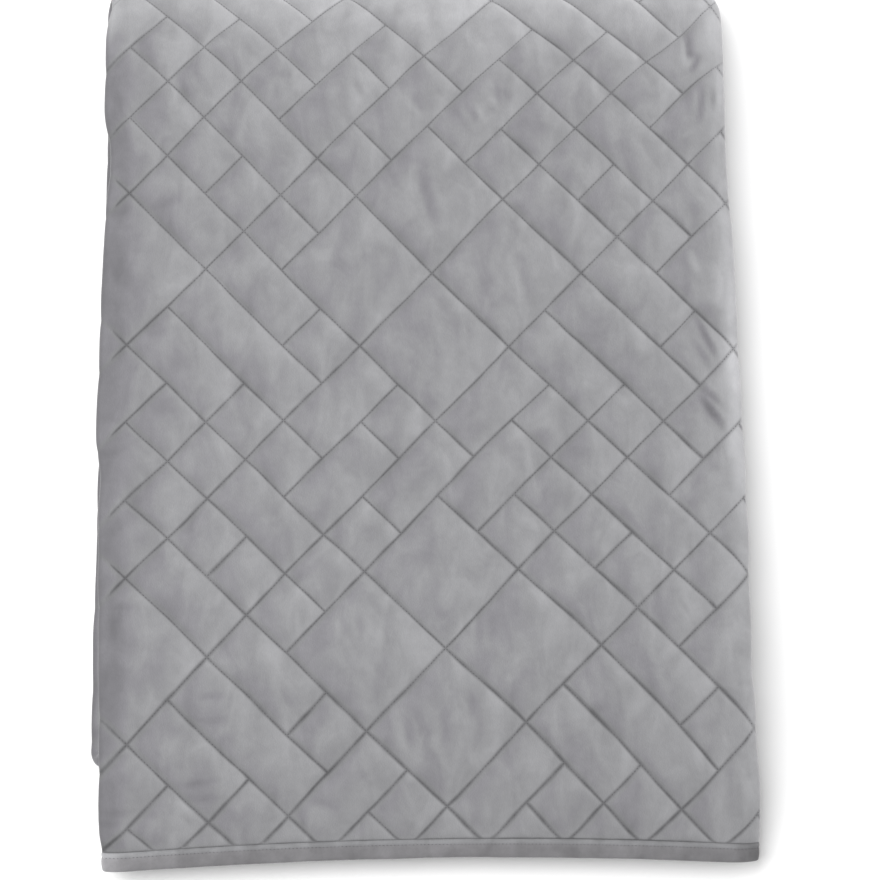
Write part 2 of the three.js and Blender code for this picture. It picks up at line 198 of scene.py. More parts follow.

# Painted streaks of the top: painted highlight on the far roll and right rim, painted shade along creases and
# the left turn; place, angle, length and width as above, and how far each paints lighter or darker
PAINTED_LIGHT_STREAKS = (
    (0, 850, 0, 1600, 70, 0.2), (0, 885, 0, 1600, 64, 0.28), (-285, 420, 90, 1800, 36, -0.15),
    (272, 420, 90, 1800, 35, 0.08), (309, 455, 90, 460, 12, 0.52), (-306, 822, 90, 120, 20, 0.95),
    (-290, 690, 90, 220, 16, -0.08), (-284, 550, 90, 200, 20, -0.1), (-288, 400, 90, 240, 16, -0.08),
    (-295, 200, 90, 300, 16, -0.05), (-306, 400, 90, 1600, 10, 0.06), (-299, 370, -5, 30, 4, -0.2),
    (-296, 402, -19, 34, 4, -0.12), (-254, 487, 2, 32, 6, -0.2), (-240, 492, 0, 30, 4, -0.08),
    (-287, 420, 75, 50, 12, -0.12), (-286, 378, 80, 40, 10, -0.12), (-292, 608, 0, 40, 6, -0.12),
    (-250, 616, 24, 42, 5, -0.16), (-289, 220, -4, 32, 4, -0.16), (-295, 202, -100, 30, 4, -0.26),
    (-302, 156, -100, 34, 4, -0.18), (-305, 138, -10, 20, 5, -0.2), (-288, 87, -5, 32, 4, -0.08),
    (-292, 36, 0, 48, 3.5, -0.2), (-299, 27, 0, 30, 3.5, -0.18), (-304, 7, 5, 26, 4, -0.35),
    (-207, 136, 0, 42, 3.5, -0.22), (-209, 115, 0, 42, 3.5, -0.17), (-193, 98, 6, 24, 4, -0.08),
    (-168, 82, 5, 34, 5, -0.06), (-221, 59, 6, 54, 3.5, -0.2), (-213, 45, 0, 50, 3.5, -0.19),
    (-230, 27, -50, 22, 4, -0.16), (-240, 36, -8, 24, 4, -0.08), (-184, 28, -27, 24, 5, -0.12),
    (-108, 36, -18, 36, 4, -0.16), (-196, 575, -30, 24, 6, -0.1), (-185, 668, -45, 30, 8, -0.08),
    (-228, 732, -46, 22, 5, -0.12), (-186, 691, -40, 20, 4, -0.12), (-182, 694, -5, 28, 4, -0.08),
    (-132, 752, -5, 38, 4, -0.1), (-72, 198, -75, 36, 6, -0.1), (-34, 549, -58, 28, 6, -0.05),
    (-23, 250, -89, 48, 6, -0.12), (-24, 101, -89, 44, 5, -0.14), (2, 664, -12, 40, 5, -0.13),
    (14, 627, -78, 130, 7, -0.17), (25, 553, -78, 24, 4, -0.15), (36, 238, -89, 46, 6, 0.08),
    (57, 203, -94, 50, 7, -0.14), (52, 167, -95, 42, 7, -0.1), (24, 179, -46, 22, 6, -0.14),
    (90, 192, -42, 28, 8, -0.09), (107, 222, 0, 36, 12, 0.06), (11, 106, -95, 56, 6, -0.09),
    (34, 126, -96, 36, 6, -0.08), (50, 85, -84, 36, 5, 0.08), (66, 535, -85, 30, 6, -0.08),
    (80, 718, -38, 24, 5, -0.14), (91, 736, -37, 30, 5, -0.1), (103, 564, -28, 24, 4, -0.1),
    (119, 543, -84, 54, 6, 0.07), (115, 455, -45, 24, 5, -0.2), (51, 660, -45, 30, 6, -0.18),
    (126, 656, -45, 24, 5, -0.14), (262, 602, -45, 36, 6, -0.22), (265, 320, -45, 70, 18, 0.07),
    (280, 232, 45, 60, 14, 0.1), (127, 105, 0, 24, 4, -0.1), (131, 89, 74, 22, 4, -0.1),
    (203, 166, 0, 50, 10, -0.07), (281, 789, -94, 40, 3.5, -0.4), (285, 779, -22, 20, 3, -0.3),
    (288, 770, -118, 26, 3, -0.34), (282, 764, -145, 30, 4, -0.2), (265, 755, -50, 28, 4, -0.14),
    (291, 726, -99, 56, 4, -0.28), (303, 733, -100, 38, 3, -0.34), (293, 836, -105, 50, 5, -0.15),
    (275, 614, -88, 66, 8, -0.14), (275, 573, -79, 34, 5, -0.14), (274, 549, -66, 36, 5, -0.14),
    (269, 547, -58, 38, 4, 0.1), (283, 486, -69, 88, 4, -0.48), (278, 468, -60, 56, 4, -0.24),
    (282, 429, -50, 50, 4, -0.38), (283, 411, -55, 64, 4, -0.48), (284, 356, -52, 22, 4, -0.12),
)

# Painted highlight and shade of the front binding, lightest at its left end, with the same columns
BINDING_PAINTED_LIGHT_STREAKS = (
    (-295, -10, 0, 130, 30, 0.34),
    (-190, -10, 0, 160, 30, 0.08),
    (-20, -10, 0, 110, 30, 0.08),
    (210, -10, 0, 260, 30, -0.05),
)

# Binding: distance out from the seam and height over the cloth's middle, outer side first
BINDING_SECTION = (
    (SEAM_GAP, 1.9), (1, 2.4), (2.6, 2.7), (4.3, 2.5), (5.2, 2),
    (6.1, 2.6), (8.5, 2.9), (11.5, 3), (14.6, 2.8), (17.2, 2.4),
    (18.3, 1.4), (18.7, 0), (18.3, -1.3), (16.8, -2.1), (12.5, -2.8),
    (4, -2.8), (SEAM_GAP, -1.9),
)
TOPSTITCH_OUT = 5.2
TOPSTITCH_HEIGHT = 2.0
TOPSTITCH_SHARE = 0.85
STRIP_BLEND = 0.5

# Swell of a binding over its length and width, where it is full, and how unevenly its edge runs
SWELL = (0.10, 23, 31)
FINE_SWELL = (0.06, 9, 32)
SWELL_SPAN = (2, 9)
EDGE_SWAY = (0.5, 38, 33)
EDGE_SWAY_START = 8

# Unevenness of the cloth, in layers of strength, size and seed
DRIFT_ACROSS = ((1.0, 63, 21), (0.4, 17, 23))
DRIFT_ALONG = ((1.0, 63, 22), (0.4, 17, 24))
UNEVEN = ((0.5, 46, 11), (0.25, 19, 12))
FULLNESS_SEED = 3
DRIFT_EASE = 40.0
EDGE_SHOULDER = 4.0


def linear(code):
    """An sRGB hex colour as linear red, green and blue."""
    parts = [int(code[k:k + 2], 16) / 255 for k in (1, 3, 5)]
    return tuple(v / 12.92 if v <= 0.04045 else ((v + 0.055) / 1.055) ** 2.4 for v in parts)


def smooth(value, low, high):
    """A smooth step from 0 at low to 1 at high."""
    share = np.clip((value - low) / (high - low), 0, 1)
    return share * share * (3 - 2 * share)


def hashed(first, second, seed):
    """An even spread from -1 to 1 for pairs of whole numbers, the same each run."""
    value = np.sin(first * 127.1 + second * 311.7 + seed * 74.7) * 43758.5453
    return 2 * (value - np.floor(value)) - 1


def soft_noise(across, along, size, seed):
    """Smooth unevenness from -1 to 1 that changes over about size."""
    u, v = across / size, along / size
    i, j = np.floor(u), np.floor(v)
    u, v = smooth(u - i, 0, 1), smooth(v - j, 0, 1)
    near = hashed(i, j, seed) * (1 - u) + hashed(i + 1, j, seed) * u
    far = hashed(i, j + 1, seed) * (1 - u) + hashed(i + 1, j + 1, seed) * u
    return near * (1 - v) + far * v


def layered(across, along, *layers):
    """Soft noise summed over layers of strength, size and seed."""
    return sum(strength * soft_noise(across, along, size, seed) for strength, size, seed in layers)


class FoldPath:
    """A strip followed along its headings: where each distance lies and which way its outer face looks."""

    STEP = 0.5
    REACH = 30.0

    def __init__(self, folds):
        self.at, heading = np.array(folds, float).T
        self.heading = np.radians(heading)
        self.stops = np.arange(self.at[0] - self.REACH, self.at[-1] + self.REACH, self.STEP)
        turned = np.interp(self.stops[:-1] + self.STEP / 2, self.at, self.heading)
        self.run = np.append(0.0, np.cumsum(np.cos(turned) * self.STEP))
        self.rise = np.append(0.0, np.cumsum(np.sin(turned) * self.STEP))

    def __call__(self, at):
        heading = np.interp(at, self.at, self.heading)
        run = np.interp(at, self.stops, self.run)
        rise = np.interp(at, self.stops, self.rise)
        return run, rise, -np.sin(heading), np.cos(heading)


WIDTH_PATH = FoldPath(WIDTH_FOLDS)
LENGTH_PATH = FoldPath(LENGTH_FOLDS)
WIDTH_ORIGIN = WIDTH_PATH(MIDDLE_CENTRE)
LENGTH_ORIGIN = LENGTH_PATH(NEAR_FOLD_START)


def eased(table, along):
    """Left and right values of a table at distances along, with soft turns at its rows."""
    at, left, right = np.array(table, float).T
    row = np.clip(np.searchsorted(at, along, side="right") - 1, 0, len(at) - 2)
    share = smooth(along, at[row], at[row + 1])
    return left[row] + (left[row + 1] - left[row]) * share, right[row] + (right[row + 1] - right[row]) * share


SLIDE_SPAN = RIGHT_BEND_START - MIDDLE_START


def quilt_across(across, along):
    """Distance across the quilting of points of the cloth."""
    left, right = eased(FOLD_SLIDES, along)
    return across + left + (right - left) * np.clip((across - MIDDLE_START) / SLIDE_SPAN, 0, 1)


def cloth_across(quilted, along):
    """Distance across the cloth of points of the quilting on its top."""
    left, right = eased(FOLD_SLIDES, along)
    grown = (right - left) / SLIDE_SPAN
    return (quilted - left + grown * MIDDLE_START) / (1 + grown)


def fold(across, along, height):
    """Folded places, in metres, of points across and along the flat cloth and above its middle."""
    side_run, side_rise, side_lean, side_face = WIDTH_PATH(across)
    run, rise, lean, face = LENGTH_PATH(along)
    lift = side_rise - WIDTH_ORIGIN[1] + side_face * height
    x = side_run - WIDTH_ORIGIN[0] + side_lean * height + quilt_across(across, along) - across
    on_left = x < 0
    inset = np.where(on_left, *eased(SIDE_SETS, along)) * x / HALF_FOLDED
    bow_left = BOW_LEFT * (1 - smooth(along, 0, BOW_LEFT_REACH))
    bow_right = BOW_RIGHT * (1 - smooth(along, 0, BOW_RIGHT_REACH))
    bow = np.where(on_left, bow_left, bow_right) * (x / HALF_FOLDED) ** 2
    far_end = 1 - smooth(along, ROLL_END, FAR_BOW_END)
    far_bow = np.where(on_left, 0, FAR_BOW) * smooth(along, FAR_BOW_START, ROLL_START)
    far_push = FAR_PUSH * smooth(along, FAR_PUSH_START, ROLL_START)
    far_bow = (far_bow * (x / HALF_FOLDED) ** 2 + far_push) * far_end
    y = run - LENGTH_ORIGIN[0] + lean * lift - bow + far_bow
    z = rise - LENGTH_ORIGIN[1] + face * lift + CLOTH / 2
    return np.stack((x - inset - ORIGIN_X, y - ORIGIN_Y, z), axis=-1) * MM


def chart_cells():
    """For each square of the repeat: its place in its cell, and the cell's squares each way."""
    chart = np.ones((REPEAT, 2 * REPEAT, 4))
    chart[..., :2] = 0
    for right, up, wide, tall in QUILT_CELLS:
        for m in range(wide):
            for n in range(tall):
                turns = (right + m) // REPEAT
                chart[(right + m) % REPEAT, (up + n - turns * REPEAT) % (2 * REPEAT)] = m, n, wide, tall
    return chart


CELL_CHART = chart_cells()
ON_SEAM = 1e-6


def charted(i, j):
    """Place in the cell and cell size of the squares numbered i to the right and j up."""
    turns = np.floor(i / REPEAT)
    down = (i - turns * REPEAT).astype(int)
    up = ((j - turns * REPEAT) % (2 * REPEAT)).astype(int)
    return np.moveaxis(CELL_CHART[down, up], -1, 0)


def cell_sides(quilted, along):
    """Distances to the four seams round a point's cell, and the number of that cell's first square."""
    column = CENTRE_COLUMN + (quilted - MIDDLE_CENTRE) / DIAGONAL
    row = SEAM_ROW - along / ROW_DIAGONAL
    right, up = column + row + ON_SEAM, column - row + ON_SEAM
    i, j = np.floor(right), np.floor(up)
    m, n, wide, tall = charted(i, j)
    from_left, from_below = right - i + m, up - j + n
    sides = np.stack((from_left, wide - from_left, from_below, tall - from_below)) * SQUARE
    return np.maximum(sides, 0), i - m, j - n


# How the quilting flattens: its share on the side folds, room round them, and its end before the far roll's
NOSE_SHARE = 0.3
NOSE_ROOM = 2.0
NOSE_RISE = 5.0
ROLL_EASE = 34.0
ROLL_REST = 4.0


def bump(value, low, high):
    """A soft hump between low and high."""
    return np.sin(np.pi * np.clip((value - low) / (high - low), 0, 1)) ** 2


def top_share(across, along):
    """How far the quilting stands up on the top: less round the side folds, not at all past the far roll."""
    left = NOSE_SHARE * smooth(across, LEFT_FOLD_START - NOSE_ROOM, LEFT_FOLD_START + NOSE_RISE)
    left = left + (1 - NOSE_SHARE) * smooth(across, MIDDLE_START - NOSE_ROOM, LEFT_ROLL_END + NOSE_ROOM)
    right = NOSE_SHARE * smooth(across, RIGHT_BEND_START - NOSE_ROOM, RIGHT_BEND_END + NOSE_ROOM)
    right = right + (1 - NOSE_SHARE) * smooth(across, RIGHT_ROLL_START, RIGHT_BEND_START + NOSE_ROOM)
    return left * (1 - right) * (1 - smooth(along, ROLL_END - ROLL_EASE, ROLL_END - ROLL_REST))


def free_share(across, along):
    """How far the quilting stands up: fully on the free top, a little on the side folds below it."""
    left_nose = bump(across, LEFT_FOLD_START, MIDDLE_START)
    right_nose = bump(across, RIGHT_BEND_START - NOSE_ROOM, RIGHT_BEND_END + NOSE_ROOM)
    below = NOSE_SHARE * np.maximum(left_nose, right_nose) * smooth(along, ROLL_END - ROLL_EASE, ROLL_END)
    return np.maximum(top_share(across, along), below)


def first_row(quilted):
    """Which row of the quilting meets the bound end."""
    return np.interp(quilted - MIDDLE_CENTRE, *np.array(FIRST_ROWS).T)


def let_out(quilted, along):
    """Where rows of the quilting lie along the cloth, let out or drawn up at the bound end."""
    first = first_row(quilted)
    share = np.clip((along - first) / (LET_OUT_REACH - first), 0, 1)
    ease = first / LET_OUT_REACH
    tucked = np.clip((along - LOWEST_ROW) / np.maximum(first - LOWEST_ROW, ON_SEAM), 0, 1)
    laid = LET_OUT_REACH * share * (1 + ease - ease * share) + EDGE_TUCK * tucked * (1 - share)
    return np.where(along < LET_OUT_REACH, laid, along)


def pulled(across, along):
    """How far the quilting is pulled to the right, save round the side folds, and along, save at the end."""
    pull_right = pull_along = np.zeros(np.broadcast(across, along).shape)
    for right, at_along, reach_across, reach_along, shift_right, shift_along in PULLS:
        sideways = (across - MIDDLE_CENTRE - right) / reach_across
        share = np.exp(-sideways ** 2 - ((along - at_along) / reach_along) ** 2)
        pull_right = pull_right + shift_right * share
        pull_along = pull_along + shift_along * share
    on_top = smooth(across, LEFT_ROLL_END, LEFT_ROLL_END + PULL_SIDE_EASE)
    on_top = on_top * (1 - smooth(across, RIGHT_ROLL_START - PULL_SIDE_EASE, RIGHT_ROLL_START))
    free = smooth(let_out(across, along), 0, PULL_END_EASE)
    return pull_right * on_top * free, pull_along * free


def streaks(table, across, along):
    """Heights of listed streaks of a table, each tapered to its ends and soft to its sides."""
    total = np.zeros(np.broadcast(across, along).shape)
    for right, at_along, angle, length, width, height in table:
        c, s = math.cos(math.radians(angle)), math.sin(math.radians(angle))
        from_across, from_along = across - MIDDLE_CENTRE - right, along - at_along
        lengthwise = from_across * c + from_along * s
        sideways = from_along * c - from_across * s
        taper = np.clip(1 - (2 * lengthwise / length) ** 2, 0, None) ** 2
        total = total + height * taper * np.exp(-((sideways / width) ** 2))
    return total


def seam_shade_ease(cover, quilted, along):
    """How far the painted shade of seams of one slant is eased off."""
    near, far, right = cover
    spread = near + far * along / ROLL_START + right * (quilted - MIDDLE_CENTRE) / HALF_FOLDED
    return np.maximum(spread, 0)


def turn_shade_ease(quilted, along):
    """How far the painted shade of the seams on the left turn is eased off."""
    on_turn = 1 - smooth(quilted - MIDDLE_CENTRE, *TURN_ACROSS)
    return TURN_SHADE_EASE * on_turn * smooth(along, *TURN_NEAR) * (1 - smooth(along, *TURN_FAR))


def edge_pinch(across, along):
    """How much thinner either face is where the cloth is caught in its bindings."""
    edge = np.minimum(np.minimum(along, PANEL_LENGTH - along), np.minimum(across, PANEL_WIDTH - across))
    return SEAM_PINCH * np.clip(1 - edge / SEAM_PINCH_REACH, 0, 1)


def quilted_face(across, along, sizes):
    """Flat place, height, seam distance and painted light streaks of points of the outer face, in
    millimetres.
    """
    quilted = quilt_across(across, along)
    laid = let_out(quilted, along)
    sides, cell_i, cell_j = cell_sides(quilted, along)
    drift = sizes.seam_drift / MM * smooth(laid, 0, DRIFT_EASE)
    pull_right, pull_along = pulled(quilted, along)
    moved_across = across + drift * layered(across, along, *DRIFT_ACROSS) + pull_right
    moved_along = laid + drift * layered(across, along, *DRIFT_ALONG) + pull_along
    rise = np.prod(1 - np.exp(-sides / (sizes.puff_shoulder / MM)), axis=0)
    fullness = 1 + sizes.puff_spread * hashed(cell_i, cell_j, FULLNESS_SEED)
    puff = rise * fullness * sizes.puff_height / MM - sizes.groove_depth / MM
    creases = sizes.crease_strength * streaks(CREASES, quilted + pull_right, moved_along)
    relief = puff + rise * (layered(across, along, *UNEVEN) + creases)
    relief = relief * free_share(across, along) * (1 - np.exp(-laid / EDGE_SHOULDER))
    height = CLOTH / 2 - edge_pinch(across, laid) + relief
    # Seam distances, eased off in places, for the painted seam shade
    rising = sides[:2].min(axis=0) + seam_shade_ease(RISING_SHADE_EASE, quilted, along)
    falling = sides[2:].min(axis=0) + seam_shade_ease(FALLING_SHADE_EASE, quilted, along)
    seam = np.minimum(np.minimum(rising, falling) + turn_shade_ease(quilted, along), laid + EDGE_SHADE_EASE)
    # Painted highlight and shade along listed streaks, read by the finish
    stroke = streaks(PAINTED_LIGHT_STREAKS, quilted + pull_right, moved_along)
    return moved_across, moved_along, height, seam, stroke


class ClothMesh:
    """Points of the flat cloth, folded as they are added, and the triangles between them."""

    def __init__(self):
        self.places, self.triangles = [], []
        self.flat, self.seams, self.painted_streaks = [], [], []
        self.count = 0

    def add(self, across, along, height, seam, stroke=0.0):
        """Adds a grid of points and returns their numbers in the same layout."""
        across, along, height, seam, stroke = np.broadcast_arrays(across, along, height, seam, stroke)
        numbers = self.count + np.arange(across.size).reshape(across.shape)
        self.count += across.size
        self.places.append(fold(across, along, height).reshape(-1, 3))
        self.flat.append(np.stack((across, along, height), axis=-1).reshape(-1, 3) * MM)
        self.seams.append(seam.ravel())
        self.painted_streaks.append(stroke.ravel())
        return numbers

    def fill(self, numbers, turned=False, crossed=False):
        """Fills a grid of points, with the other diagonal where crossed is true."""
        a, b = numbers[:-1, :-1], numbers[:-1, 1:]
        d, c = numbers[1:, :-1], numbers[1:, 1:]
        crossed = np.broadcast_to(crossed, a.shape)
        first = np.stack((a, b, np.where(crossed, d, c)), axis=-1)
        second = np.stack((np.where(crossed, b, a), c, d), axis=-1)
        for group in (first, second):
            self.triangles.append(group.reshape(-1, 3)[:, ::-1 if turned else 1])

    def join(self, line, line_at, other, other_at, turned=False):
        """Fills the strip between two lines of points that run the same way."""
        i = j = 0
        made = []
        while i < len(line) - 1 or j < len(other) - 1:
            on_line = j == len(other) - 1
            if not on_line and i < len(line) - 1:
                on_line = line_at[i + 1] <= other_at[j + 1]
            if on_line:
                made.append((line[i], other[j], line[i + 1]))
                i += 1
            else:
                made.append((line[i], other[j], other[j + 1]))
                j += 1
        self.triangles.append(np.array(made)[:, ::-1 if turned else 1])

    def piece(self, name, finish):
        """Makes the piece, with its flat places, seam distances and painted light streaks for the finish to
        read.
        """
        lists = {"flat_place": self.flat, "seam": self.seams, "stroke": self.painted_streaks}
        attributes = {label: np.concatenate(values) for label, values in lists.items()}
        places, faces = np.concatenate(self.places), np.concatenate(self.triangles)
        return make_piece(name, places, faces, finish, **attributes)


def make_piece(name, places, faces, finish, **attributes):
    """A smooth mesh piece in the scene, with its finish and point attributes."""
    mesh = bpy.data.meshes.new(name)
    mesh.from_pydata(places.tolist(), [], faces.tolist())
    mesh.shade_smooth()
    for label, values in attributes.items():
        kind, field = ("FLOAT", "value") if values.ndim == 1 else ("FLOAT_VECTOR", "vector")
        mesh.attributes.new(label, kind, "POINT").data.foreach_set(field, values.astype(np.float32).ravel())
    mesh.materials.append(finish)
    made = bpy.data.objects.new(name, mesh)
    bpy.context.scene.collection.objects.link(made)
    return made


def stops(*legs):
    """Even stops through legs of start and step, up to but not including the last start."""
    made = []
    for (low, step), (high, *_) in zip(legs, legs[1:]):
        count = max(1, round((high - low) / step))
        made.append(low + (high - low) * np.arange(count) / count)
    return np.concatenate(made)


# Points of the panel: fine on the quilted top and round its side folds, few where layers lie hidden
TOP_STEPS = 24
FIRST_COLUMN, LAST_COLUMN = -3, 9
LAST_ROW = -4
BACK_STEPS = 4
TOP_COLUMNS = np.arange(FIRST_COLUMN * TOP_STEPS, LAST_COLUMN * TOP_STEPS) / TOP_STEPS
TOP_LEFT_ROOM, TOP_RIGHT_ROOM = 1.5, 3.5
ROW_ROOM = 0.8
NOSE_STEP = 1.05
FOLD_STEP = 4
LOWER_STEP = 8
HIDDEN_STEP = 120
TOP_END = ROLL_END + FOLD_STEP
RIGHT_NOSE_START, RIGHT_NOSE_END = RIGHT_BEND_START - NOSE_ROOM, RIGHT_BEND_END + NOSE_ROOM
LEFT_NOSE = np.append(stops((LEFT_FOLD_START, NOSE_STEP), (MIDDLE_START,)), MIDDLE_START)
RIGHT_NOSE = stops((RIGHT_NOSE_START, NOSE_STEP), (RIGHT_NOSE_END,))
LEFT_FLAP = np.array([0.0, 18, 180, 360, 510, LEFT_DROOP_START, 548, 554])
RIGHT_FLAP = np.array([RIGHT_NOSE_END, 1197, 1208, 1238, 1300, 1450, 1600, 1742, PANEL_WIDTH])
SPARE_COLUMNS = 4


def top_grid():
    """Points of the top: on columns through the crossings of the quilting, and round the side folds."""
    along = top_rows()[:, None]
    quilted = MIDDLE_CENTRE + (TOP_COLUMNS - CENTRE_COLUMN) * DIAGONAL
    left, right = eased(FOLD_SLIDES, along)
    low = MIDDLE_START + left.max() + TOP_LEFT_ROOM
    high = RIGHT_BEND_START + right.min() - TOP_RIGHT_ROOM
    quilted = cloth_across(quilted[(quilted > low) & (quilted < high)], along)
    share = np.arange(1, SPARE_COLUMNS + 1) / (SPARE_COLUMNS + 1)
    left = LEFT_NOSE[-1] + (quilted[:, :1] - LEFT_NOSE[-1]) * share
    right = quilted[:, -1:] + (RIGHT_NOSE[0] - quilted[:, -1:]) * share
    lines = (LEFT_FLAP, LEFT_NOSE, RIGHT_NOSE, RIGHT_FLAP)
    sides = [np.broadcast_to(line, (len(along), len(line))) for line in lines]
    across = np.concatenate((*sides[:2], left, quilted, right, *sides[2:]), axis=1)
    return across, np.broadcast_to(along, across.shape)


def top_rows():
    """Rows of the top: the bound end, then through the crossings of the quilting."""
    numbers = np.arange(math.floor((SEAM_ROW + 1) * TOP_STEPS), LAST_ROW * TOP_STEPS, -1)
    rows = (SEAM_ROW - numbers / TOP_STEPS) * ROW_DIAGONAL
    return np.concatenate(([LOWEST_ROW], rows[(rows > LOWEST_ROW + ROW_ROOM) & (rows < TOP_END)]))


PINCH_START = PANEL_LENGTH - SEAM_PINCH_REACH
LOWER_ROWS = np.concatenate((
    stops((TOP_END + FOLD_STEP, LOWER_STEP), (NEAR_FOLD_START, FOLD_STEP), (NEAR_FOLD_END,)),
    stops((NEAR_FOLD_END, LOWER_STEP), (PINCH_START,)),
    [PINCH_START, PANEL_LENGTH - FOLD_STEP, PANEL_LENGTH],
))
LOWER_COLUMNS = np.concatenate((
    LEFT_FLAP,
    LEFT_NOSE[:-1],
    stops((MIDDLE_START, FOLD_STEP), (LEFT_ROLL_END,)),
    stops((LEFT_ROLL_END, HIDDEN_STEP), (RIGHT_ROLL_START, FOLD_STEP), (RIGHT_NOSE_START,)),
    RIGHT_NOSE,
    RIGHT_FLAP,
))


def panel_mesh(sizes):
    """The quilted cloth: a raised face, a plain back and the cut edges that join them."""
    cloth = ClothMesh()
    across, along = top_grid()
    rows = let_out(0.0, along[:, 0])
    face = quilted_face(across, along, sizes)
    top = cloth.add(*face)
    middle_across = (across[:-1, :-1] + across[1:, 1:]) / 2
    middle_along = (along[:-1, :-1] + along[1:, 1:]) / 2
    middle = quilted_face(middle_across, middle_along, sizes)[2]
    height = face[2]
    one = np.abs((height[:-1, :-1] + height[1:, 1:]) / 2 - middle)
    other = np.abs((height[:-1, 1:] + height[1:, :-1]) / 2 - middle)
    cloth.fill(top, crossed=other < one)
    low_across, low_along = np.meshgrid(LOWER_COLUMNS, LOWER_ROWS)
    lower = cloth.add(*quilted_face(low_across, low_along, sizes))
    cloth.fill(lower)
    cloth.join(top[-1], across[-1], lower[0], LOWER_COLUMNS, turned=True)
    back_rows = np.concatenate((rows[::BACK_STEPS], LOWER_ROWS))
    back_across, back_along = np.meshgrid(LOWER_COLUMNS, back_rows)
    back_height = edge_pinch(back_across, back_along) - CLOTH / 2
    back = cloth.add(back_across, back_along, back_height, np.full(back_height.shape, SQUARE))
    cloth.fill(back, turned=True)
    side_rows = np.concatenate((rows, LOWER_ROWS))
    left = np.concatenate((top[:, 0], lower[:, 0]))
    right = np.concatenate((top[:, -1], lower[:, -1]))
    cloth.join(left, side_rows, back[:, 0], back_rows, turned=True)
    cloth.join(right, side_rows, back[:, -1], back_rows)
    cloth.join(top[0], across[0], back[0], LOWER_COLUMNS)
    cloth.join(lower[-1], LOWER_COLUMNS, back[-1], LOWER_COLUMNS, turned=True)
    return cloth


def binding_mesh(at, place, turned):
    """A bound edge: the section carried along its stops, where place gives the flat point."""
    cloth = ClothMesh()
    out, height = np.array(BINDING_SECTION).T
    at, out = np.meshgrid(at, out, indexing="ij")
    height = np.broadcast_to(height, out.shape)
    swell = layered(at, out, SWELL) + layered(at, out * 2, FINE_SWELL)
    swell = 1 + swell * smooth(out, *SWELL_SPAN)
    edge = layered(at, 0.0, EDGE_SWAY) * smooth(out, EDGE_SWAY_START, BINDING_WIDTH)
    across, along = place(at, out + edge)
    # Painted highlight and shade along the binding's listed streaks
    numbers = cloth.add(across, along, height * swell, out, streaks(BINDING_PAINTED_LIGHT_STREAKS, across, along))
    ring = np.concatenate((numbers, numbers[:, :1]), axis=1)
    cloth.fill(ring, turned=turned)
    tip = int(out[0].argmax())
    for end, flip in ((numbers[0], turned), (numbers[-1], not turned)):
        cloth.join(end[:tip + 1], out[0, :tip + 1], end[:tip:-1], out[0, :tip:-1], flip)
    return cloth


# Stops of the bindings: close together where they show, few on the hidden flaps
FLAP_STEP = 90
DROOP_STEP = 5
FRONT_STEP = 3.2
SIDE_STEP = 7
END_STOPS = np.concatenate((
    [-BINDING_WIDTH, -BINDING_WIDTH / 2, 0],
    stops((BINDING_WIDTH, FLAP_STEP), (LEFT_DROOP_START, DROOP_STEP), (LEFT_FOLD_START,)),
    stops((LEFT_FOLD_START, NOSE_STEP), (MIDDLE_START, FRONT_STEP), (RIGHT_NOSE_START,)),
    stops((RIGHT_NOSE_START, NOSE_STEP), (RIGHT_NOSE_END, FLAP_STEP), (PANEL_WIDTH,)),
    [PANEL_WIDTH, PANEL_WIDTH + BINDING_WIDTH / 2, PANEL_WIDTH + BINDING_WIDTH],
))
SIDE_STOPS = np.concatenate((
    stops((0, SIDE_STEP), (ROLL_START, FOLD_STEP), (ROLL_END, SIDE_STEP), (NEAR_FOLD_START,)),
    stops((NEAR_FOLD_START, FOLD_STEP), (NEAR_FOLD_END, SIDE_STEP), (PANEL_LENGTH,)),
    [PANEL_LENGTH],
))

# Each binding's name, its stops, where its section lies on the flat cloth, and its winding
BINDINGS = (
    ("binding_top_end", END_STOPS, lambda at, out: (at, -out), False),
    ("binding_inner_end", END_STOPS, lambda at, out: (at, PANEL_LENGTH + out), True),
    ("binding_left_side", SIDE_STOPS, lambda at, out: (-out, at), True),
    ("binding_right_side", SIDE_STOPS, lambda at, out: (PANEL_WIDTH + out, at), False),
)


# Quilting stitches: gap as a share of a stitch, squares looked through, and room left at the edges
STITCH_GAP = 0.12
STITCH_SQUARES = (np.arange(-16, 24), np.arange(-24, 24))
STITCH_LEFT_ROOM = 12.0
STITCH_END_ROOM = 2.0
STITCH_FAR_ROOM = 20.0


def quilting_stitches(sizes):
    """Start and end, on the flat cloth, of every stitch in the seams of the top."""
    count = round(SQUARE / (sizes.stitch_length / MM))
    gap = STITCH_GAP / count
    steps = np.arange(count) / count
    i, j = np.meshgrid(*STITCH_SQUARES, indexing="ij")
    m, n, _, _ = charted(i.astype(float), j.astype(float))
    starts, ends = [], []
    for offset, turn_right, turn_up in ((m, 0, 1), (n, 1, 0)):
        first_right, first_up = i[offset == 0][:, None], j[offset == 0][:, None]
        for share, group in ((steps + gap, starts), (steps + 1 / count - gap, ends)):
            right, up = first_right + turn_right * share, first_up + turn_up * share
            quilted = MIDDLE_CENTRE + ((right + up) / 2 - CENTRE_COLUMN) * DIAGONAL
            along = (SEAM_ROW - (right - up) / 2) * ROW_DIAGONAL
            group.append(np.stack((cloth_across(quilted, along), along), axis=-1).reshape(-1, 2))
    starts, ends = np.concatenate(starts), np.concatenate(ends)
    low, high = np.minimum(starts, ends), np.maximum(starts, ends)
    inside = (low[:, 0] > MIDDLE_START + STITCH_LEFT_ROOM) & (high[:, 0] < RIGHT_BEND_START)
    inside &= low[:, 1] > first_row(quilt_across(*low.T)) + STITCH_END_ROOM
    inside &= high[:, 1] < ROLL_END - STITCH_FAR_ROOM
    return starts[inside], ends[inside]


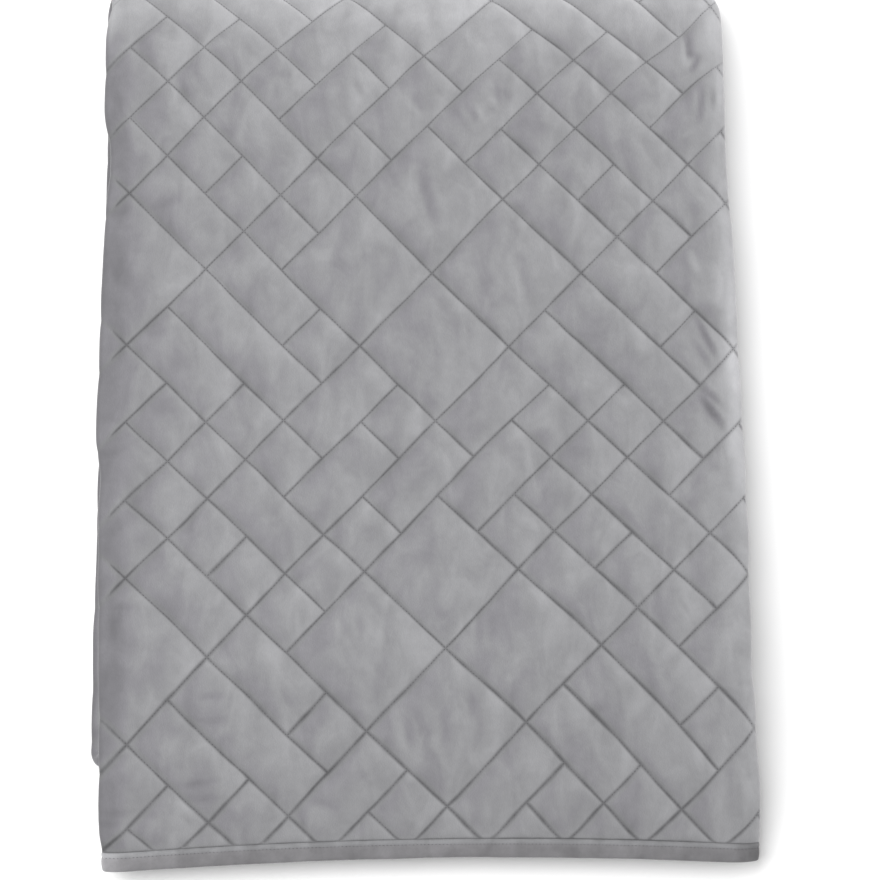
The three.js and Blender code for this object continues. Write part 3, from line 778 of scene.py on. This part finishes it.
# A stitch: its two ends, its sides, its crown and its underside
LOZENGE_FACES = np.array((
    (0, 4, 2), (0, 3, 4), (0, 5, 3), (0, 2, 5),
    (1, 2, 4), (1, 4, 3), (1, 3, 5), (1, 5, 2),
))
STITCH_LIFT = 0.25
STITCH_SINK = 0.3


def stitch_mesh(name, starts, ends, lay, thread, finish):
    """Stitches as joined lozenges of thread; lay gives the flat place and height of a point of the seam."""
    along_it = ends - starts
    sideways = np.stack((-along_it[:, 1], along_it[:, 0]), axis=-1)
    sideways = sideways / np.linalg.norm(sideways, axis=1, keepdims=True) * thread / 2
    middle = (starts + ends) / 2
    corners = (starts, ends, middle + sideways, middle - sideways, middle, middle)
    lifts = (-STITCH_LIFT, -STITCH_LIFT, STITCH_LIFT, STITCH_LIFT, STITCH_LIFT + thread / 2, -STITCH_SINK)
    places = []
    for corner, lift in zip(corners, lifts):
        across, along, height = lay(corner[:, 0], corner[:, 1])
        places.append(fold(across, along, height + lift))
    places = np.stack(places, axis=1).reshape(-1, 3)
    faces = (np.arange(len(starts))[:, None, None] * len(corners) + LOZENGE_FACES).reshape(-1, 3)
    return make_piece(name, places, faces, finish)


def add_node(tree, kind, settings=(), **inputs):
    """Adds a node with its settings, and sets or links its inputs, named with _ for a space.
    A node given as an input is linked by its first output."""
    made = tree.nodes.new("ShaderNode" + kind)
    for label, value in dict(settings).items():
        setattr(made, label, value)
    for label, value in inputs.items():
        label = label.replace("_", " ")
        socket = made.inputs[int(label[1:])] if label[1:].isdigit() else made.inputs[label]
        if isinstance(value, bpy.types.Node):
            value = value.outputs[0]
        if isinstance(value, bpy.types.NodeSocket):
            tree.links.new(value, socket)
        else:
            socket.default_value = value
    return made


def blank_material(name):
    """A new material with no nodes, and add_node for its tree."""
    made = bpy.data.materials.new(name)
    made.use_nodes = True
    made.node_tree.nodes.clear()
    return made, functools.partial(add_node, made.node_tree)


def per_metre(millimetres):
    """Texture scale for a pattern that repeats over about this many millimetres."""
    return 1 / (millimetres * MM)


# Pile: how far its lay sways, how far from a seam its painted shade reaches in millimetres, and spread of the
# seams' painted shade
PILE_SWAY = 0.17
SEAM_REACH = (2.2, 4.4)
SHADE_SPREAD = 0.12
# Painted shade of the seams and mottling of each velvet
PANEL_SHADE, PANEL_MOTTLE = 0.57, 0.065
BINDING_SHADE, BINDING_MOTTLE = 0.85, 0.12
# Number of the colour among a mix node's outputs, and repeats of a wave of scale 1 over one unit
MIXED_COLOUR = 2
WAVE_REPEATS = 3.15


def velvet(name, colour, cool_shade, strip, painted_light_way, seam_shade, mottle, finish):
    """Cotton velvet, woven with a short cut pile, with painted light and shade in its colour.
    Slopes that face the given direction are painted brighter and the others darker and cooler,
    so puffs shade from one side to the other, with painted streaks of highlight and shade and painted shade
    in the seams."""
    made, node = blank_material(name)
    flat = node("Attribute", {"attribute_name": "flat_place"}).outputs["Vector"]
    seam = node("Attribute", {"attribute_name": "seam"}).outputs["Fac"]
    stroke = node("Attribute", {"attribute_name": "stroke"}).outputs["Fac"]
    # Pile tufts are about 0.3 mm; drawn at 1.4 mm so that they show
    pile = node("TexNoise", Vector=flat, Scale=per_metre(1.4), Detail=2.0)
    tufts = node("Bump", Strength=0.7, Distance=0.3 * MM, Height=pile)
    facing = node(
        "VectorTransform",
        {"vector_type": "NORMAL", "convert_from": "WORLD", "convert_to": "OBJECT"}, Vector=tufts,
    )
    # Painted light: how far each slope faces the given direction, which sets its painted brightness
    lean = node("VectorMath", {"operation": "DOT_PRODUCT"}, _0=facing, _1=painted_light_way)
    # Hands brush the pile mostly lengthwise, so its sway is longer that way; painted shade darkens the seams
    # over 2 to 4 mm
    combed = node("VectorMath", {"operation": "MULTIPLY"}, _0=flat, _1=(1.0, 0.5, 1.0))
    uneven = []
    for place, size, detail, rough, twist, spread, low, high in (
        (combed, 24, 4.0, 0.5, 0.6, 0.2, -PILE_SWAY, PILE_SWAY),
        (flat, 80, 5.0, 0.8, 0.0, 0.2, *SEAM_REACH),
        (flat, 26, 3.0, 0.5, 0.0, 0.15, seam_shade - SHADE_SPREAD, seam_shade + SHADE_SPREAD),
        (flat, 20, 4.0, 0.75, 0.0, 0.2, 1 - mottle, 1 + mottle),
    ):
        noise = node(
            "TexNoise",
            Vector=place, Scale=per_metre(size), Detail=detail, Roughness=rough, Distortion=twist,
        )
        uneven.append(node(
            "MapRange",
            Value=noise, From_Min=0.5 - spread, From_Max=0.5 + spread, To_Min=low, To_Max=high,
        ))
    sway, reach, seam_shade_depth, worn = uneven
    # Painted streaks of highlight and shade add to the random sway of the pile
    sway_and_painted_streaks = node("Math", {"operation": "ADD"}, _0=sway, _1=stroke)
    lay = node("Math", {"operation": "ADD"}, _0=lean.outputs["Value"], _1=sway_and_painted_streaks)
    # Painted light and shade: brightness rises from slopes facing away from the direction to slopes facing
    # it, along a gentle curve
    curved = {"operation": "MULTIPLY_ADD"}
    curve = node("Math", curved, _0=lay, _1=finish.painted_light_curve, _2=finish.painted_light_slope)
    shade = node("Math", curved, _0=lay, _1=curve, _2=1.0)
    eased_range = {"interpolation_type": "SMOOTHSTEP"}
    # Painted shade in the seam grooves, lighter where it is eased off
    seam_painted_shade = node("MapRange", eased_range, Value=seam, From_Min=0.0, From_Max=reach, To_Min=seam_shade_depth, To_Max=1.0)
    painted_shade_and_mottle = node("Math", {"operation": "MULTIPLY"}, _0=shade, _1=seam_painted_shade)
    painted_shade_and_mottle = node("Math", {"operation": "MULTIPLY"}, _0=painted_shade_and_mottle, _1=worn)
    # Painted shade takes the cool tint on slopes facing away from the direction
    shaded_side = node("MapRange", eased_range, Value=lay, From_Min=-0.22, From_Max=0.04, To_Min=1.0, To_Max=0.0)
    colours = {"data_type": "RGBA"}
    dye = node("Mix", colours, _0=shaded_side, _6=(*colour, 1.0), _7=(*cool_shade, 1.0))
    strip_end = TOPSTITCH_OUT - STRIP_BLEND
    past_strip = node("MapRange", Value=seam, From_Min=strip_end, From_Max=TOPSTITCH_OUT + STRIP_BLEND)
    near_seam = node("Mix", colours, _0=past_strip, _6=(*strip, 1.0), _7=dye.outputs[MIXED_COLOUR])
    shown = node("VectorMath", {"operation": "SCALE"}, _0=near_seam.outputs[MIXED_COLOUR], Scale=painted_shade_and_mottle)
    shader = node(
        "BsdfPrincipled",
        Base_Color=shown, Roughness=0.92, Specular_IOR_Level=0.15,
        Sheen_Weight=finish.sheen, Sheen_Roughness=0.4, Normal=tufts,
    )
    node("OutputMaterial", Surface=shader)
    return made


def sewing_thread(colour):
    """Spun polyester thread, two-ply: a dull dark line with a faint twist."""
    made, node = blank_material("spun_polyester_thread")
    place = node("TexCoord").outputs["Object"]
    # The ply turns about every 0.5 mm; drawn at 1.8 mm so that it shows
    scale = per_metre(1.8) / WAVE_REPEATS
    twist = node("TexWave", Vector=place, Scale=scale, Distortion=3.0).outputs["Fac"]
    tone = node("MapRange", Value=twist, From_Min=0.0, From_Max=1.0, To_Min=0.75, To_Max=1.15)
    ply = node("VectorMath", {"operation": "SCALE"}, _0=colour, Scale=tone)
    shader = node("BsdfPrincipled", Base_Color=ply, Roughness=0.7, Specular_IOR_Level=0.3)
    node("OutputMaterial", Surface=shader)
    return made


def painted_board(colour):
    """Matt white studio board: even, with no gloss."""
    made, node = blank_material("matt_white_board")
    shader = node("BsdfPrincipled", Base_Color=(*colour, 1.0), Roughness=0.95, Specular_IOR_Level=0.0)
    node("OutputMaterial", Surface=shader)
    return made


# Kinds of setting
LENGTH = {"unit": "LENGTH", "precision": 4}
COLOUR = {"subtype": "COLOR"}
PLACE = {"subtype": "XYZ", "unit": "LENGTH"}


class BedspreadSizes(bpy.types.PropertyGroup):
    """Sizes of the quilting and its stitches."""

    puff_height: bpy.props.FloatProperty(
        name="Puff height", description="Height of a full cell above its seams", default=5.0 * MM, **LENGTH,
    )
    puff_shoulder: bpy.props.FloatProperty(
        name="Puff shoulder", description="Distance over which a cell rises from its seams",
        default=9.0 * MM, **LENGTH,
    )
    puff_spread: bpy.props.FloatProperty(
        name="Puff spread", description="How much fuller one cell is than another",
        default=0.14, subtype="FACTOR", min=0.0, max=1.0,
    )
    groove_depth: bpy.props.FloatProperty(
        name="Groove depth", description="How far the seams pull into the cloth", default=1.4 * MM, **LENGTH,
    )
    seam_drift: bpy.props.FloatProperty(
        name="Seam drift", description="How far the seams stray from straight", default=0.9 * MM, **LENGTH,
    )
    crease_strength: bpy.props.FloatProperty(
        name="Crease strength", description="Depth of the creases against those of the table",
        default=1.0, subtype="FACTOR", min=0.0, max=2.0,
    )
    stitch_length: bpy.props.FloatProperty(
        name="Stitch length", description="Length of one stitch", default=3.5 * MM, **LENGTH,
    )
    thread: bpy.props.FloatProperty(
        name="Thread", description="Width of the thread as it lies", default=0.7 * MM, **LENGTH,
    )


class BedspreadColours(bpy.types.PropertyGroup):
    """Colours of the cloth, and the painted light and shade of its pile."""

    velvet: bpy.props.FloatVectorProperty(
        name="Velvet", description="Dyed velvet of the panel", default=linear("#858587"), **COLOUR,
    )
    # Tint of the painted shade on slopes facing away from the painted light
    cool_shade: bpy.props.FloatVectorProperty(
        name="Cool patches", description="Velvet where the pile is brushed back",
        default=linear("#858488"), **COLOUR,
    )
    binding: bpy.props.FloatVectorProperty(
        name="Binding", description="Velvet of the bindings", default=linear("#767577"), **COLOUR,
    )
    thread: bpy.props.FloatVectorProperty(
        name="Thread", description="Sewing thread", default=linear("#646366"), **COLOUR,
    )
    # These settings paint light and shade into the velvet's colour by which way each slope faces
    painted_light_direction: bpy.props.FloatVectorProperty(
        name="Nap direction", description="Way the pile leans over the top",
        default=(1.0, 0.0, 0.0), subtype="DIRECTION",
    )
    binding_painted_light: bpy.props.FloatVectorProperty(
        name="Binding nap", description="Way the pile of the bindings leans",
        default=(-0.35, 0.0, 0.0), subtype="DIRECTION",
    )
    painted_light_slope: bpy.props.FloatProperty(
        name="Nap contrast", description="Brightness gained by a slope that faces along the pile",
        default=0.78,
    )
    painted_light_curve: bpy.props.FloatProperty(
        name="Nap curve", description="Extra brightness of steep slopes", default=0.3,
    )
    sheen: bpy.props.FloatProperty(
        name="Sheen", description="Soft glow of the pile at its edges", default=0.35, subtype="FACTOR",
    )


class BedspreadStudio(bpy.types.PropertyGroup):
    """The floor, the light and the camera."""

    floor: bpy.props.FloatVectorProperty(
        name="Floor", description="Pale floor", default=linear("#fcfcfc"), **COLOUR,
    )
    sky: bpy.props.FloatProperty(
        name="Soft light", description="Strength of the even light all round", default=0.52,
    )
    key_power: bpy.props.FloatProperty(
        name="Key light", description="Power of the large light on the left", default=416.0, unit="POWER",
    )
    key_place: bpy.props.FloatVectorProperty(
        name="Key place", description="Middle of the large light", default=(-3.0, 0.25, 5.2), **PLACE,
    )
    key_size: bpy.props.FloatProperty(
        name="Key size", description="Side of the large light", default=4.8, unit="LENGTH",
    )
    back_power: bpy.props.FloatProperty(
        name="Back light", description="Power of the light behind the far roll", default=4.5, unit="POWER",
    )
    back_place: bpy.props.FloatVectorProperty(
        name="Back place", description="Middle of the light behind", default=(0.6, 1.15, 0.55), **PLACE,
    )
    back_size: bpy.props.FloatProperty(
        name="Back size", description="Side of the light behind", default=1.0, unit="LENGTH",
    )
    camera_place: bpy.props.FloatVectorProperty(
        name="Camera place", description="Where the camera stands",
        default=(-0.3839, -0.8500, 2.9309), **PLACE,
    )
    camera_aim: bpy.props.FloatVectorProperty(
        name="Camera aim", description="Point in the middle of the picture",
        default=(0.0121, -0.0410, 0.0600), **PLACE,
    )
    camera_roll: bpy.props.FloatProperty(
        name="Camera roll", description="Turn of the camera about its view",
        default=math.radians(25.15), subtype="ANGLE",
    )
    lens: bpy.props.FloatProperty(
        name="Lens", description="Focal length", default=128.5, unit="CAMERA",
    )


def fit_piece(piece, slot, *nodes):
    """Hangs a piece on the root and hides the solids it stands for; the slot is not used."""
    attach(piece, "root")
    if nodes:
        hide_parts(*nodes)
    return piece


def soft_light(name, power, place, size):
    """A large square light that faces the middle of the stage."""
    light = bpy.data.lights.new(name, "AREA")
    light.energy = power
    light.size = size
    lamp = bpy.data.objects.new(name, light)
    lamp.location = place
    lamp.rotation_euler = (-Vector(place)).to_track_quat("-Z", "Y").to_euler()
    lamp.visible_camera = False
    bpy.context.scene.collection.objects.link(lamp)


FLOOR_HALF = 6.0
SENSOR_WIDTH = 36.0


class BEDSPREAD_OT_stage(bpy.types.Operator):
    """Sets up the pale floor, the soft light and the camera"""

    bl_idname = "bedspread.stage"
    bl_label = "Stage"

    def execute(self, context):
        studio = context.scene.bedspread_studio
        corners = FLOOR_HALF * np.array(((-1, -1, 0), (1, -1, 0), (1, 1, 0), (-1, 1, 0)))
        floor = make_piece("floor", corners, np.array(((0, 1, 2, 3),)), painted_board(studio.floor))
        world = bpy.data.worlds.new("studio")
        world.use_nodes = True
        sky = world.node_tree.nodes["Background"]
        sky.inputs["Color"].default_value = (1.0, 1.0, 1.0, 1.0)
        sky.inputs["Strength"].default_value = studio.sky
        context.scene.world = world
        soft_light("key", studio.key_power, studio.key_place, studio.key_size)
        soft_light("back", studio.back_power, studio.back_place, studio.back_size)
        lens = bpy.data.cameras.new("camera")
        lens.lens = studio.lens
        lens.sensor_width = SENSOR_WIDTH
        camera = bpy.data.objects.new("camera", lens)
        view = Vector(studio.camera_aim) - Vector(studio.camera_place)
        turned = view.to_track_quat("-Z", "Y").to_matrix().to_4x4()
        turned = turned @ Matrix.Rotation(studio.camera_roll, 4, "Z")
        camera.matrix_world = Matrix.Translation(studio.camera_place) @ turned
        context.scene.collection.objects.link(camera)
        context.scene.camera = camera
        context.scene.view_settings.view_transform = "Standard"
        return {"FINISHED"}


class BEDSPREAD_OT_bindings(bpy.types.Operator):
    """Makes the four velvet bindings round the edges"""

    bl_idname = "bedspread.bindings"
    bl_label = "Bindings"

    def execute(self, context):
        colours = context.scene.bedspread_colours
        finish = velvet(
            "bias_cut_velvet_binding", colours.binding, colours.binding, colours.velvet,
            colours.binding_painted_light, BINDING_SHADE, BINDING_MOTTLE, colours,
        )
        for name, at, place, turned in BINDINGS:
            piece = binding_mesh(at, place, turned).piece(f"velvet_{name}", finish)
            fit_piece(piece, "velvet_binding", name)
        return {"FINISHED"}


class BEDSPREAD_OT_stitching(bpy.types.Operator):
    """Makes the quilting stitches of the top and the topstitching of its bound end"""

    bl_idname = "bedspread.stitching"
    bl_label = "Stitching"

    def execute(self, context):
        sizes = context.scene.bedspread_sizes
        colours = context.scene.bedspread_colours
        finish = sewing_thread(colours.thread)
        thread = sizes.thread / MM
        starts, ends = quilting_stitches(sizes)
        quilting = stitch_mesh(
            "quilting_stitches", starts, ends,
            lambda across, along: quilted_face(across, along, sizes)[:3], thread, finish,
        )
        fit_piece(quilting, "quilted_velvet")
        pitch = sizes.stitch_length / MM
        first = np.arange(LEFT_FOLD_START, RIGHT_BEND_END, pitch)
        line = np.full(len(first), -TOPSTITCH_OUT)
        starts = np.stack((first, line), axis=-1)
        ends = np.stack((first + pitch * TOPSTITCH_SHARE, line), axis=-1)
        topstitch = stitch_mesh(
            "binding_topstitch", starts, ends,
            lambda across, along: (across, along, np.full(len(across), TOPSTITCH_HEIGHT)), thread, finish,
        )
        fit_piece(topstitch, "velvet_binding")
        return {"FINISHED"}


class BEDSPREAD_OT_panel(bpy.types.Operator):
    bl_idname = "bedspread.panel"
    bl_label = "Quilted panel"

    def execute(self, context):
        sizes = context.scene.bedspread_sizes
        colours = context.scene.bedspread_colours
        finish = velvet(
            "cotton_velvet_quilted", colours.velvet, colours.cool_shade, colours.velvet,
            colours.painted_light_direction, PANEL_SHADE, PANEL_MOTTLE, colours,
        )
        panel = panel_mesh(sizes).piece("quilted_velvet_panel", finish)
        fit_piece(panel, "quilted_velvet", "quilted_panel")
        return {"FINISHED"}


class BEDSPREAD_PT_sidebar(bpy.types.Panel):
    """Lists the bedspread's pieces, sizes and colours"""

    bl_label = "Bedspread"
    bl_idname = "BEDSPREAD_PT_sidebar"
    bl_space_type = "VIEW_3D"
    bl_region_type = "UI"
    bl_category = "Bedspread"

    def draw(self, context):
        for operator in OPERATORS:
            self.layout.operator(operator.bl_idname)
        for settings in GROUPS:
            group = getattr(context.scene, settings)
            box = self.layout.box()
            for label in group.bl_rna.properties.keys():
                if label not in {"rna_type", "name"}:
                    box.prop(group, label)


OPERATORS = (BEDSPREAD_OT_stage, BEDSPREAD_OT_bindings, BEDSPREAD_OT_stitching, BEDSPREAD_OT_panel)
GROUPS = {
    "bedspread_sizes": BedspreadSizes,
    "bedspread_colours": BedspreadColours,
    "bedspread_studio": BedspreadStudio,
}


def register():
    """Registers the classes and hangs the settings on the scene."""
    for group in (*GROUPS.values(), *OPERATORS, BEDSPREAD_PT_sidebar):
        bpy.utils.register_class(group)
    for label, group in GROUPS.items():
        setattr(bpy.types.Scene, label, bpy.props.PointerProperty(type=group))


def unregister():
    """Takes the settings and classes away again."""
    for label in GROUPS:
        delattr(bpy.types.Scene, label)
    for group in reversed((*GROUPS.values(), *OPERATORS, BEDSPREAD_PT_sidebar)):
        bpy.utils.unregister_class(group)


def main():
    """Makes every piece in order."""
    register()
    bpy.ops.bedspread.stage()
    bpy.ops.bedspread.bindings()
    bpy.ops.bedspread.stitching()
    bpy.ops.bedspread.panel()


if __name__ == "__main__":
    main()
